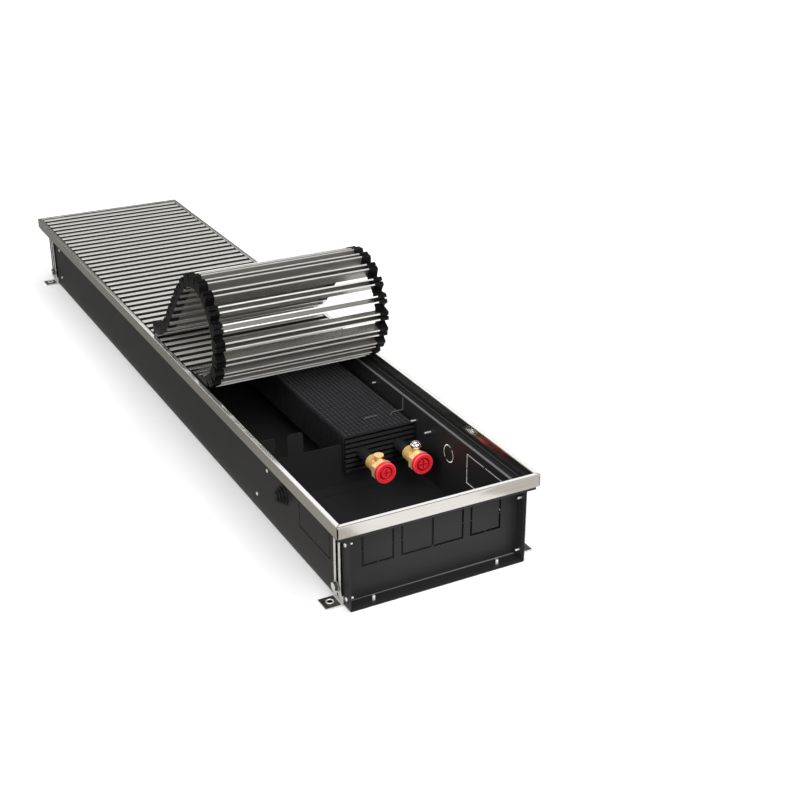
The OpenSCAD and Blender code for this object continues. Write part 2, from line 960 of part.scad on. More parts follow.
module cap(x) {
    ring_r = cap_r / 2;
    front = face_y - seat - cap_t;
    color(cap_red)
        difference() {
            union() {
                rod_y(x, tube_z, front, face_y - seat, cap_r);
                rod_y(x, tube_z, face_y - seat, face_y + port_depth - 2, port_r - joint_fit);
            }
            difference() {
                rod_y(x, tube_z, front - 1, front + 1.2, ring_r + 0.6);
                rod_y(x, tube_z, front - 2, front + 2, ring_r - 0.6);
            }
            box(x - 4.2, x + 4.2, front - 1, front + 1.2, tube_z - 0.6, tube_z + 0.6);
            box(x - 0.6, x + 0.6, front - 1, front + 1.2, tube_z - 4.2, tube_z + 4.2);
            // hollow plug
            rod_y(x, tube_z, face_y + 1, face_y + port_depth, port_r - 1.6);
        }
}

module cap_return() {
    cap(return_x);
}

module cap_supply() {
    cap(supply_x);
}

// Levelling feet: an angle with a long slot, clamped to the wall by a bolt

module foot() {
    slot_w = bolt_r + fit;
    color(steel)
        difference() {
            upright(-foot_cy - foot_w / 2, foot_w) {
                translate([foot_in, fold_r + foot_t])
                    square([foot_t, foot_top - fold_r - foot_t]);
                fold(foot_out + fold_r, fold_r + foot_t, fold_r, foot_t, 180);
                translate([foot_out + fold_r, 0])
                    square([foot_reach - foot_t - fold_r, foot_t]);
            }
            rod_x(-foot_cy, bolt_z, foot_in - 1, foot_out + 1, slot_w);
            rod_x(-foot_cy, foot_top - 6, foot_in - 1, foot_out + 1, slot_w);
            box(foot_in - 1, foot_out + 1, -foot_cy - slot_w, -foot_cy + slot_w, bolt_z, foot_top - 6);
            rod_x(-foot_cy, bolt_z - 11, foot_in - 1, foot_out + 1, 2);
            translate([tab_x, -foot_cy, -1])
                cylinder(r = tab_hole_r, h = foot_t + 2);
        }
}

module foot_near_right() {
    foot();
}

module foot_near_left() {
    mirror([1, 0, 0])
        foot();
}

module foot_far_right() {
    mirror([0, 1, 0])
        foot();
}

module foot_far_left() {
    mirror([1, 0, 0])
        mirror([0, 1, 0])
            foot();
}

module foot_bolt() {
    rod_x(-foot_cy, bolt_z, wall_in - 5, foot_out + fit + washer_t, bolt_r);
    translate([wall_in - 4, -foot_cy, bolt_z])
        rotate([0, 90, 0])
            cylinder(r = 1.9 * bolt_r, h = 4 - fit, $fn = 6);
    rod_x(-foot_cy, bolt_z, foot_out + fit, foot_out + fit + washer_t, washer_r);
    translate([foot_out + fit + washer_t, -foot_cy, bolt_z])
        rotate([0, 90, 0])
            cylinder(r = 1.9 * bolt_r, h = head_h, $fn = 6);
}

module foot_bolts() {
    color(steel)
        both_sides()
            both_ends()
                foot_bolt();
}

// Small screws: heads outside the wall, tips standing into the trough

module wall_screw(y, z, tip) {
    rod_x(y, z, tray_x - sheet - tip, wall_x + fit, screw_r);
    rod_x(y, z, wall_x + fit, wall_x + 1.6, screw_head_r);
}

module wall_screws() {
    color(steel) {
        for (s = right_screws)
            wall_screw(-s.x, s.y, s.z);
        mirror([1, 0, 0])
            for (s = left_screws)
                wall_screw(-s.x, s.y, s.z);
        both_sides() {
            for (k = [0, 1])
                wall_screw(bracket_far_y + bracket_screw_y, right_screws[k].y, tip_l);
            both_ends()
                wall_screw(-spreader_y, spreader_screw_z, short_tip_l);
        }
    }
}

module end_plate_screws() {
    color(steel)
        both_sides()
            both_ends() {
                for (z = end_screw_z)
                    wall_screw(-end_screw_y, z, 5);
                translate([end_screw_x, -end_screw_y, 0])
                    cylinder(r = screw_r, h = 8);
            }
}

// Ribbed blind grommet in the left wall, on its side

module cable_grommet() {
    lip = round_cut_r + 2;
    core = round_cut_r - fit;
    tip = round_cut_r - 5;
    rib = 2;
    rib_n = 4;
    step = grommet_l / rib_n;
    color(link_black)
        translate([-wall_x, -round_cut_y, cut_z])
            rotate([0, -90, 0])
                rotate_extrude()
                    polygon(concat(
                        [[0, -sheet - 3], [lip, -sheet - 3], [lip, -sheet - fit], [core, -sheet - fit], [core, fit], [lip, fit]],
                        [
                            for (k = [0:rib_n - 1])
                                for (p = [[lip - k * rib, k * step + step * 0.55], [lip - k * rib - rib - 0.8, k * step + step * 0.55], [lip - k * rib - rib - 0.8, (k + 1) * step]])
                                    p
                        ],
                        [[0, grommet_l]]
                    ));
}

trough();
end_plate_near();
end_plate_far();
frame_upstands();
frame_rail_left();
frame_rail_right();
frame_rail_near();
frame_rail_far();
frame_corner_keys();
rubber_strips();
grille_flat_slats();
grille_flat_links();
exchanger_fins();
exchanger_end_fins();
exchanger_tube();
support_bracket_near();
support_bracket_far();
exchanger_clips();
spreader_bars();
fitting_return();
fitting_supply();
blanking_plug();
air_vent_body();
air_vent_spindle();
cap_return();
cap_supply();
foot_near_left();
foot_near_right();
foot_far_left();
foot_far_right();
foot_bolts();
end_plate_screws();
wall_screws();
cable_grommet();
for (i = [1:rolled_n]) rolled_slat(i);
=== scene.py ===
import json
import math

import bmesh
import bpy
from mathutils import Matrix, Vector


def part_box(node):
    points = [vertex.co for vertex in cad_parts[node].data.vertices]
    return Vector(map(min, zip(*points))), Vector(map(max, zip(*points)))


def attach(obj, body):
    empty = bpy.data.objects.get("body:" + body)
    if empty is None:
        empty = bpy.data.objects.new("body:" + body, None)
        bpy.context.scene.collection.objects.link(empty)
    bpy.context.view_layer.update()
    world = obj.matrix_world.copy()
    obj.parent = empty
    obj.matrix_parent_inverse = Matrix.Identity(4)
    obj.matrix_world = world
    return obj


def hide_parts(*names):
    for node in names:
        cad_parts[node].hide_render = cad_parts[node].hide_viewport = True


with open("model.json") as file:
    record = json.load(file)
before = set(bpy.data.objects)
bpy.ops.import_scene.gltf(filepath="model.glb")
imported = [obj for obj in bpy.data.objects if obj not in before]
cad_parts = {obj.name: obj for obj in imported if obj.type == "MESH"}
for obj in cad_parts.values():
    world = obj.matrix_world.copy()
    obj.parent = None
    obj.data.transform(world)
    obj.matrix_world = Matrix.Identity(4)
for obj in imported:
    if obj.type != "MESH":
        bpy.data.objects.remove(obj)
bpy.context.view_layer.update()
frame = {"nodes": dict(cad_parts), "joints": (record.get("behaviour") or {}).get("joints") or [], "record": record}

scene = bpy.context.scene
nodes = frame["nodes"]
joints = {joint["name"]: joint for joint in frame["joints"]}
mm = 0.001

# Camera, at the photograph's viewing angle

cameraValues = {"place": (-0.63144, -1.68639, 0.81218), "turn": (65.04, 0.0, -28.09), "lens": 60.62}

cameraData = bpy.data.cameras.new("camera")
cameraData.lens = cameraValues["lens"]
cameraData.sensor_width = 36
cameraData.clip_end = 50
camera = bpy.data.objects.new("camera", cameraData)
camera.location = cameraValues["place"]
camera.rotation_euler = [math.radians(a) for a in cameraValues["turn"]]
scene.collection.objects.link(camera)
scene.camera = camera
scene.view_settings.view_transform = "Standard"
print("camera placed")


# Small helpers for materials

def linear(hexColour):
    parts = [int(hexColour[i:i + 2], 16) / 255 for i in (1, 3, 5)]
    return [p / 12.92 if p <= 0.04045 else ((p + 0.055) / 1.055) ** 2.4 for p in parts] + [1.0]


def addNode(tree, kind, inputs=None, **settings):
    node = tree.nodes.new("ShaderNode" + kind)
    for key, value in settings.items():
        setattr(node, key, value)
    for socket, value in (inputs or {}).items():
        if isinstance(value, bpy.types.NodeSocket):
            tree.links.new(value, node.inputs[socket])
        else:
            node.inputs[socket].default_value = value
    return node


def startMaterial(name, fixed):
    made = bpy.data.materials.new(name)
    made.use_nodes = True
    tree = made.node_tree
    shader = tree.nodes["Principled BSDF"]
    for socket, value in fixed.items():
        shader.inputs[socket].default_value = value
    place = addNode(tree, "TexCoord").outputs["Object"]
    return made, tree, shader, place


# colour, roughness and bump from one coarse and one fine noise; sizes are in millimetres
def surface(name, look, fixed=None, grain=(1, 1, 1)):
    made, tree, shader, place = startMaterial(name, fixed or {})
    stretched = addNode(tree, "Mapping", {"Vector": place, "Scale": [1 / g for g in grain]}).outputs["Vector"]
    coarse = addNode(tree, "TexNoise", {"Vector": place, "Scale": 1000 / look["patch"], "Detail": 3.0})
    fine = addNode(tree, "TexNoise", {"Vector": stretched, "Scale": 1000 / look["grain"], "Detail": 2.0})
    both = addNode(tree, "Mix", {0: 0.5, 2: coarse.outputs["Fac"], 3: fine.outputs["Fac"]}, data_type="FLOAT")
    tone = addNode(tree, "Mix", {0: both.outputs[0], 6: linear(look["dark"]), 7: linear(look["light"])},
                   data_type="RGBA")
    rough = addNode(tree, "MapRange", {"Value": both.outputs[0], "From Min": 0.3, "From Max": 0.7,
                                       "To Min": look["rough"][0], "To Max": look["rough"][1]})
    bump = addNode(tree, "Bump", {"Height": fine.outputs["Fac"], "Strength": look["bump"],
                                  "Distance": look["depth"] * mm})
    tree.links.new(tone.outputs[2], shader.inputs["Base Color"])
    tree.links.new(rough.outputs["Result"], shader.inputs["Roughness"])
    tree.links.new(bump.outputs["Normal"], shader.inputs["Normal"])
    return made


metal = {"Metallic": 1.0}
finishes = {
    # steel sheet, powder coated black: matte, with the faint orange peel of a baked powder
    "powderCoatedSteel": surface("powderCoatedSteel", {
        "dark": "#1f1f20", "light": "#282829", "patch": 60, "grain": 1.6, "rough": (0.4, 0.5),
        "bump": 0.25, "depth": 0.05}, {"Specular IOR Level": 0.22}),
    # the same coat painted a lighter grey: a painted highlight, a grey line along each bend and on the ledges
    "foldHighlightCoat": surface("foldHighlightCoat", {
        "dark": "#5c5c5e", "light": "#727274", "patch": 25, "grain": 1.6, "rough": (0.26, 0.36),
        "bump": 0.2, "depth": 0.04}, {"Specular IOR Level": 0.6}),
    # dead black: painted shade in the slits, mitres, slots and sockets
    "paintedShadeBlack": surface("paintedShadeBlack", {
        "dark": "#030303", "light": "#060606", "patch": 8, "grain": 0.5, "rough": (0.7, 0.85),
        "bump": 0.2, "depth": 0.03}, {"Specular IOR Level": 0.03}),
    # bright steel grey: painted light, as if coming through the slits in the trough's right wall
    "slitLightEdge": surface("slitLightEdge", {
        "dark": "#c8c7c3", "light": "#e2e1dd", "patch": 8, "grain": 0.5, "rough": (0.4, 0.5),
        "bump": 0.1, "depth": 0.02}, {"Metallic": 0.3}),
    # aluminium extrusion, natural anodised: satin, with drawn lines along its length
    "anodisedRailLong": surface("anodisedRailLong", {
        "dark": "#d2d0ca", "light": "#e8e6e1", "patch": 120, "grain": 1.4, "rough": (0.12, 0.2),
        "bump": 0.2, "depth": 0.03}, metal, grain=(1, 90, 1)),
    # the near and far rails are painted darker than the side rails: a shaded copy of the same finish, painted
    # shade
    "anodisedRailCrossShade": surface("anodisedRailCrossShade", {
        "dark": "#bfbcb6", "light": "#dad8d3", "patch": 120, "grain": 1.4, "rough": (0.12, 0.2),
        "bump": 0.2, "depth": 0.03}, metal, grain=(90, 1, 1)),
    # the frame's top lip, painted paler than its sides: a painted highlight along the top
    "lipHighlight": surface("lipHighlight", {
        "dark": "#f2f1ed", "light": "#faf9f6", "patch": 90, "grain": 2.4, "rough": (0.1, 0.14),
        "bump": 0.03, "depth": 0.01}, {"Metallic": 0.85}),
    # slat extrusion, natural anodised: glossier along the draw lines
    "anodisedSlat": surface("anodisedSlat", {
        "dark": "#dad8d3", "light": "#e9e8e4", "patch": 90, "grain": 1.2, "rough": (0.22, 0.28),
        "bump": 0.04, "depth": 0.01}, metal, grain=(90, 1, 1)),
    # slat end, sawn: painted mid grey, painted shade on the cut ends
    "sawnEndShade": surface("sawnEndShade", {
        "dark": "#4a4945", "light": "#63615c", "patch": 6, "grain": 0.6, "rough": (0.5, 0.6),
        "bump": 0.3, "depth": 0.03}, {"Metallic": 0.6}),
    # link, injection moulded from glass-filled nylon: black, slightly frosted
    "mouldedNylon": surface("mouldedNylon", {
        "dark": "#0b0b0c", "light": "#141415", "patch": 9, "grain": 0.7, "rough": (0.3, 0.4),
        "bump": 0.25, "depth": 0.03}, {"Specular IOR Level": 0.06}),
    # the link's rounded edges: a thin grey line round each link, a painted highlight
    "nylonEdgeHighlight": surface("nylonEdgeHighlight", {
        "dark": "#6c6c6c", "light": "#8e8e8c", "patch": 6, "grain": 0.7, "rough": (0.24, 0.34),
        "bump": 0.2, "depth": 0.03}),
    # rubber, extruded and moulded: dead black, soft edge light
    "blackRubber": surface("blackRubber", {
        "dark": "#0c0c0c", "light": "#141414", "patch": 8, "grain": 0.9, "rough": (0.55, 0.7),
        "bump": 0.4, "depth": 0.06}),
    # aluminium fin, dipped in black lacquer
    "lacqueredFin": surface("lacqueredFin", {
        "dark": "#28282a", "light": "#333335", "patch": 30, "grain": 1.5, "rough": (0.36, 0.46),
        "bump": 0.15, "depth": 0.03}, {"Specular IOR Level": 0.35}),
    # the crests of every second run of the fin's waves: a grey dash on each, a painted highlight
    "finCrestHighlight": surface("finCrestHighlight", {
        "dark": "#78787a", "light": "#8a8a8c", "patch": 30, "grain": 1.5, "rough": (0.36, 0.46),
        "bump": 0.15, "depth": 0.03}),
    # end fin: a darker, duller copy of the fin lacquer, painted shade on the pack's ends
    "endFinShade": surface("endFinShade", {
        "dark": "#0a0a0b", "light": "#101011", "patch": 30, "grain": 1.5, "rough": (0.36, 0.46),
        "bump": 0.15, "depth": 0.03}, {"Specular IOR Level": 0.12}),
    # copper tube, sprayed black: smoother than the sheet, with a long soft highlight
    "lacqueredTube": surface("lacqueredTube", {
        "dark": "#202021", "light": "#29292b", "patch": 25, "grain": 1.2, "rough": (0.22, 0.28),
        "bump": 0.04, "depth": 0.01}, {"Specular IOR Level": 0.7}),
    # spring wire, phosphated: dark grey with a dull metal sheen
    "phosphatedWire": surface("phosphatedWire", {
        "dark": "#5a5a5b", "light": "#737374", "patch": 9, "grain": 0.6, "rough": (0.4, 0.5),
        "bump": 0.1, "depth": 0.02}, {"Metallic": 0.4}),
    # brass, hot stamped and turned: warm yellow, patchy where it was stamped
    "stampedBrass": surface("stampedBrass", {
        "dark": "#e6b25c", "light": "#ffdc9a", "patch": 7, "grain": 0.8, "rough": (0.16, 0.24),
        "bump": 0.2, "depth": 0.03}, {"Metallic": 0.25}),
    # the same brass where it was turned and milled: paler and brighter than the stamped skin, partly a painted
    # highlight
    "turnedBrassHighlight": surface("turnedBrassHighlight", {
        "dark": "#ffd68c", "light": "#ffe8b0", "patch": 5, "grain": 0.5, "rough": (0.14, 0.2),
        "bump": 0.1, "depth": 0.02}, {"Metallic": 0.2}),
    # brass, nickel plated and polished: bright, a little grey
    "platedBrass": surface("platedBrass", {
        "dark": "#d4d4d2", "light": "#fafaf8", "patch": 2.0, "grain": 1.3, "rough": (0.06, 0.12),
        "bump": 0.8, "depth": 0.25}, metal),
    # steel strip, zinc plated: cool grey with the cloudy bloom of the bath
    "zincPlatedSteel": surface("zincPlatedSteel", {
        "dark": "#cccbc6", "light": "#dddcd7", "patch": 14, "grain": 1.0, "rough": (0.22, 0.32),
        "bump": 0.15, "depth": 0.02}, {"Metallic": 0.35}),
    # the same strip painted dark on the foot's up-facing faces and the bolts' sides: painted shade
    "zincSteelShade": surface("zincSteelShade", {
        "dark": "#4a4843", "light": "#5c5a54", "patch": 8, "grain": 1.0, "rough": (0.3, 0.4),
        "bump": 0.2, "depth": 0.03}, {"Metallic": 0.7}),
    # screws and bolts, bright zinc: small clear highlights
    "brightZinc": surface("brightZinc", {
        "dark": "#dcdcda", "light": "#f6f6f4", "patch": 5, "grain": 0.6, "rough": (0.16, 0.24),
        "bump": 0.1, "depth": 0.02}, {"Metallic": 0.5}),
    # cap, injection moulded from red polyethylene: waxy, even colour
    "redPolyethylene": surface("redPolyethylene", {
        "dark": "#ff202e", "light": "#ff303c", "patch": 10, "grain": 0.8, "rough": (0.28, 0.36),
        "bump": 0.2, "depth": 0.04}),
    # the cap's rolled rim: painted pale, a painted highlight
    "capRimHighlight": surface("capRimHighlight", {
        "dark": "#ff3846", "light": "#ff6a74", "patch": 6, "grain": 0.8, "rough": (0.3, 0.4),
        "bump": 0.2, "depth": 0.04}),
    # the cap's moulded groove: painted dark red, painted shade in the recess
    "capGrooveShade": surface("capGrooveShade", {
        "dark": "#3c060a", "light": "#560a10", "patch": 10, "grain": 0.8, "rough": (0.5, 0.6),
        "bump": 0.2, "depth": 0.04}),
}

# the slat's channel is painted darker and less metallic than its walked-on face, painted shade in the recess, and
# its bottom bead brighter, a painted highlight;
# heights are in millimetres in the slat's own frame, and the slats that lie flat get a still darker channel and a
# less metallic face, painted shade in the gaps between them
slatZones = {"face": 3.2, "bead": -12.2, "soft": 0.4, "beadHighlight": "#f7f6f3", "beadSheen": 0.6,
             "anodisedSlat": {"channelShade": "#a19f99", "channelSheen": 0.72, "faceSheen": 1.0},
             "anodisedSlatLaid": {"channelShade": "#4a4943", "channelSheen": 0.6, "faceSheen": 0.5}}
finishes["anodisedSlatLaid"] = finishes["anodisedSlat"].copy()
for name in ("anodisedSlat", "anodisedSlatLaid"):
    zone = slatZones[name]
    tree = finishes[name].node_tree
    shader = tree.nodes["Principled BSDF"]
    face, bead, soft = (slatZones[key] * mm for key in ("face", "bead", "soft"))
    place = addNode(tree, "TexCoord").outputs["Object"]
    height = addNode(tree, "SeparateXYZ", {"Vector": place}).outputs["Z"]
    above = addNode(tree, "MapRange", {"Value": height, "From Min": face - soft, "From Max": face}).outputs[0]
    below = addNode(tree, "MapRange", {"Value": height, "From Min": bead, "From Max": bead - soft}).outputs[0]
    drawn = shader.inputs["Base Color"].links[0].from_socket
    channelShaded = addNode(tree, "Mix", {0: above, 6: linear(zone["channelShade"]), 7: drawn}, data_type="RGBA")
    beadHighlighted = addNode(tree, "Mix", {0: below, 6: channelShaded.outputs[2], 7: linear(slatZones["beadHighlight"])},
                     data_type="RGBA")
    sheen = addNode(tree, "MapRange", {"Value": above, "To Min": zone["channelSheen"],
                                       "To Max": zone["faceSheen"]})
    beadSheen = addNode(tree, "Mix", {0: below, 2: sheen.outputs["Result"], 3: slatZones["beadSheen"]},
                        data_type="FLOAT")
    tree.links.new(beadHighlighted.outputs[2], shader.inputs["Base Color"])
    tree.links.new(beadSheen.outputs[0], shader.inputs["Metallic"])
print("finishes mixed")


# Small helpers for meshes

meshValues = {"weld": 3e-6, "flatWithin": 0.5, "smoothBelow": 50}  # metres, degrees, degrees
facing = 0.9  # cosine: a face within 25 degrees of an axis looks along it


def meshFrom(name, shape, looks):
    for face in shape.faces:
        face.smooth = True
    smooth = math.radians(meshValues["smoothBelow"])
    for edge in shape.edges:
        edge.smooth = len(edge.link_faces) != 2 or edge.calc_face_angle(0) < smooth
    mesh = bpy.data.meshes.new(name)
    shape.to_mesh(mesh)
    shape.free()
    for look in looks:
        mesh.materials.append(finishes[look])
    return mesh


def showMesh(name, mesh, body, replaced=(), place=None):
    piece = bpy.data.objects.new(name, mesh)
    scene.collection.objects.link(piece)
    if place:
        piece.matrix_world = place
    even = piece.modifiers.new("even", "WEIGHTED_NORMAL")
    even.keep_sharp = True
    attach(piece, body)
    if replaced:
        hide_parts(*replaced)


# a node's mesh with its flat faces whole again, ready to be rounded
def solidOf(node):
    shape = bmesh.new()
    shape.from_mesh(nodes[node].data)
    bmesh.ops.remove_doubles(shape, verts=shape.verts, dist=meshValues["weld"])
    bmesh.ops.dissolve_limit(shape, angle_limit=math.radians(meshValues["flatWithin"]), verts=shape.verts,
                             edges=shape.edges)
    return shape


# returns the new faces along every edge sharper than so many degrees
def roundEdges(shape, width, sharp=32, segments=2, skip=frozenset()):
    edges = [e for e in shape.edges if len(e.link_faces) == 2 and not skip.issuperset(e.verts)
             and e.calc_face_angle(0) > math.radians(sharp)]
    return bmesh.ops.bevel(shape, geom=edges, offset=width * mm, offset_type="OFFSET", segments=segments,
                           profile=0.5, affect="EDGES", clamp_overlap=True)["faces"]


# new rings of points where the plane z = height crosses the mesh
def cutAt(shape, height):
    geom = shape.verts[:] + shape.edges[:] + shape.faces[:]
    bmesh.ops.bisect_plane(shape, geom=geom, plane_co=(0, 0, height), plane_no=(0, 0, 1))


# the vertices of each separate piece of the mesh
def islandsOf(shape):
    left = set(shape.verts)
    while left:
        island, front = set(), [left.pop()]
        while front:
            vert = front.pop()
            island.add(vert)
            for edge in vert.link_edges:
                other = edge.other_vert(vert)
                if other in left:
                    left.discard(other)
                    front.append(other)
        yield island


# Sheet metal: folds bent to a radius, knock-out slits opened to their width, cut edges broken

sheetLooks = ["powderCoatedSteel", "foldHighlightCoat", "paintedShadeBlack", "slitLightEdge"]
sheetEdges = {
    "trough": 0.2, "end_plate_near": 0.2, "end_plate_far": 0.2, "frame_upstands": 0.25,
    "support_bracket_near": 0.25, "support_bracket_far": 0.25, "spreader_bars": 0.25,
}
# in millimetres, but sharpest in radians and upward as a cosine
foldValues = {"radius": 1.0, "segments": 3, "shortest": 60, "flange": 3, "sharpest": 1.2, "upward": 0.3,
              "ledge": 80, "lip": 6}
# how wide the slits and nibs are drawn in the solids, and how wide the nibs are left
slitValues = {"drawn": 1.0, "drawnNib": 3.0, "nib": 1.4, "near": 0.06, "across": 0.3}
# each row is a knock-out's place along the wall, height, width and tallness; width 0 is a single slit
endPlateRows = [(0, 61, 76, 37), (0, 61, 0, 37), (-67.5, 61, 37, 37), (67.5, 61, 37, 37)]
knockOuts = {
    "end_plate_near": {"wall": 1, "open": 2.4, "rows": endPlateRows},
    "end_plate_far": {"wall": 1, "open": 2.4, "rows": endPlateRows},
    "trough": {"wall": 0, "open": 1.3, "rows": [(-508.5, 60, 79, 38)], "ring": (-425, 60, 11)},
}


# long folds get their radius, and the up-facing faces on the ledges and the bent faces along the bottom get a
# painted highlight
def bendFolds(shape):
    folds = []
    for edge in shape.edges:
        if len(edge.link_faces) == 2 and edge.calc_length() > foldValues["shortest"] * mm:
            flange = min(face.calc_area() for face in edge.link_faces) / edge.calc_length()
            if flange > foldValues["flange"] * mm and edge.calc_face_angle(0) > foldValues["sharpest"]:
                folds.append(edge)
    bent = bmesh.ops.bevel(shape, geom=folds, offset=foldValues["radius"] * mm, offset_type="OFFSET",
                           segments=foldValues["segments"], profile=0.5, affect="EDGES",
                           clamp_overlap=False)
    bent = set(bent["faces"])
    for face in shape.faces:
        lies = face.calc_center_median().z / mm
        getsHighlight = lies > foldValues["ledge"] or lies < foldValues["lip"] and face in bent
        if face.normal.z > foldValues["upward"] and getsHighlight:
            face.material_index = sheetLooks.index("foldHighlightCoat")


# returns the vertices of the slits, now as wide as they are cut
def openSlits(shape, cuts):
    along = 1 - cuts["wall"]
    half = slitValues["drawn"] / 2
    grow = cuts["open"] / slitValues["drawn"]
    nib, drawnNib = slitValues["nib"] / 2, slitValues["drawnNib"] / 2
    near = slitValues["near"]
    found = set()
    for vert in shape.verts:
        for place, height, width, tall in cuts["rows"]:
            a, b = vert.co[along] / mm - place, vert.co.z / mm - height
            offA, offB = abs(a) - width / 2, abs(b) - tall / 2
            onA = abs(abs(offA) - half) < near and offB < 2 * half
            onB = abs(abs(offB) - half) < near and offA < 2 * half
            if onA and (width > 0 or abs(b) < tall / 2 - half):
                vert.co[along] = (place + math.copysign(width / 2 + offA * grow, a)) * mm
                found.add(vert)
                if width > 0 and abs(abs(b) - drawnNib) < near:
                    vert.co.z = (height + math.copysign(nib, b)) * mm
            if onB and width > 0:
                vert.co.z = (height + math.copysign(tall / 2 + offB * grow, b)) * mm
                found.add(vert)
                if width < 2 * tall and abs(abs(a) - drawnNib) < near:
                    vert.co[along] = (place + math.copysign(nib, a)) * mm
            if found and vert in found:
                break
        if "ring" in cuts and vert.co.x > 0:
            place, height, radius = cuts["ring"]
            a, b = vert.co.y / mm - place, vert.co.z / mm - height
            off = math.hypot(a, b) - radius
            if abs(abs(off) - half) < near:
                scale = (radius + off * grow) / (radius + off)
                vert.co.y, vert.co.z = (place + a * scale) * mm, (height + b * scale) * mm
                found.add(vert)
    return found


for node, width in sheetEdges.items():
    shape = solidOf(node)
    slits = openSlits(shape, knockOuts[node]) if node in knockOuts else set()
    # slit walls are painted: black as painted shade, and on the trough's right wall bright as painted light coming
    # through
    for face in shape.faces:
        if slits.issuperset(face.verts) and abs(face.normal[knockOuts[node]["wall"]]) < slitValues["across"]:
            litThrough = node == "trough" and face.verts[0].co.x > 0
            face.material_index = sheetLooks.index("slitLightEdge" if litThrough else "paintedShadeBlack")
    if node in knockOuts:
        bendFolds(shape)
    roundEdges(shape, width, sharp=60, segments=1, skip={vert for vert in slits if vert.is_valid})
    showMesh(node + "_finished", meshFrom(node, shape, sheetLooks), "heater", [node])
    print(node, "finished,", len(slits), "slit points")


# Frame rails: a painted highlight on top, with painted shade in the mitres

railValues = {"edge": 0.35, "slitTop": 106.5, "slit": 1.3, "mitre": 2, "lip": 0.3, "slanted": 0.6}
for node in ("frame_rail_left", "frame_rail_right", "frame_rail_near", "frame_rail_far"):
    shape = solidOf(node)
    cross = node.endswith(("near", "far"))
    low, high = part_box(node)
    if cross:  # the mitre gapes a little below the lip
        cutAt(shape, railValues["slitTop"] * mm)
        for vert in shape.verts:
            below = vert.co.z < (railValues["slitTop"] + 0.1) * mm
            if below and abs(vert.co.x) > high.x - railValues["mitre"] * mm:
                vert.co.x -= math.copysign(railValues["slit"] * mm, vert.co.x)
    roundEdges(shape, railValues["edge"])
    for face in shape.faces:
        if face.normal.z > facing and face.calc_center_median().z > high.z - railValues["lip"] * mm:
            face.material_index = 1
        # the mitre's slanted faces get painted shade
        elif min(abs(face.normal.x), abs(face.normal.y)) > railValues["slanted"]:
            face.material_index = 2
    looks = ["anodisedRailCrossShade" if cross else "anodisedRailLong", "lipHighlight", "paintedShadeBlack"]
    showMesh(node + "_finished", meshFrom(node, shape, looks), "heater", [node])
print("frame finished")


# Grille: one slat and one pair of links, drawn at the hinge and set down along the grille

grilleValues = {"slatEdge": 0.3, "linkEdge": 0.35, "footTip": 0.2, "footNarrower": 2.2, "slotNear": 0.8,
                "slotTop": 7, "slotHalf": 0.95, "face": 0.85, "head": 2.0, "headWidth": 0.84, "sawn": 1}


# where a slat's hinge is at rest, turned as the slat is
def hingeFrame(number):
    joint = joints["slat_hinge_%02d" % number]
    heading = 0
    for k in range(1, number + 1):
        low, high = joints["slat_hinge_%02d" % k]["range_deg"]
        heading += high if high > -low else low
    return Matrix.Translation(joint["pos_m"]) @ Matrix.Rotation(-math.radians(heading), 4, "X")


# the links' feet and heads draw in towards their tips, so that a bend in the grille opens a V between them
def drawInFeet(half):
    low = min(vert.co.z for vert in half.verts)
    middle = (min(vert.co.y for vert in half.verts) + max(vert.co.y for vert in half.verts)) / 2
    tip = grilleValues["footTip"] * mm
    feet = [vert for vert in half.verts if vert.co.z < low + tip]
    near, far = min(vert.co.y for vert in feet), max(vert.co.y for vert in feet)
    for vert in feet:
        if vert.co.y < near + tip:
            vert.co.y += grilleValues["footNarrower"] * mm
        elif vert.co.y > far - tip:
            vert.co.y -= grilleValues["footNarrower"] * mm
    centre = (near + far) / 2
    for vert in half.verts:
        if vert.co.z > grilleValues["head"] * mm:
            vert.co.y = middle + (vert.co.y - middle) * grilleValues["headWidth"]
        inSlot = abs(vert.co.y - centre) < grilleValues["slotNear"] * mm
        if inSlot and vert.co.z < low + grilleValues["slotTop"] * mm:
            vert.co.y = centre + math.copysign(grilleValues["slotHalf"] * mm, vert.co.y - centre)


# the slat's walked-on face is drawn in a little on both sides
def narrowFace(half):
    middle = (min(vert.co.y for vert in half.verts) + max(vert.co.y for vert in half.verts)) / 2
    for vert in half.verts:
        if vert.co.z > 0:
            vert.co.y = middle + (vert.co.y - middle) * grilleValues["face"]


# a slat's solid parted into the slat and its links, both rounded and in the hinge's frame
def slatParts(number):
    shape = solidOf("grille_slat_%02d" % number)
    shape.transform(hingeFrame(number).inverted())
    parts = {}
    for part in ("slat", "links"):
        half = shape.copy()
        dropped = []
        for island in islandsOf(half):
            isSlat = min(v.co.x for v in island) < 0 < max(v.co.x for v in island)
            if isSlat != (part == "slat"):
                dropped.extend(island)
        bmesh.ops.delete(half, geom=dropped, context="VERTS")
        if part == "links":
            drawInFeet(half)
        else:
            narrowFace(half)
        rounded = set(roundEdges(half, grilleValues["slatEdge" if part == "slat" else "linkEdge"]))
        reach = max(v.co.x for v in half.verts)
        # the slat's sawn ends get painted shade, the links' rounded edges a painted highlight
        for face in half.faces:
            atEnd = abs(face.verts[0].co.x) > reach - grilleValues["sawn"] * mm
            sawn = atEnd and abs(face.normal.x) > facing
            if (sawn if part == "slat" else face in rounded):
                face.material_index = 1
        parts[part] = half
    shape.free()
    return parts


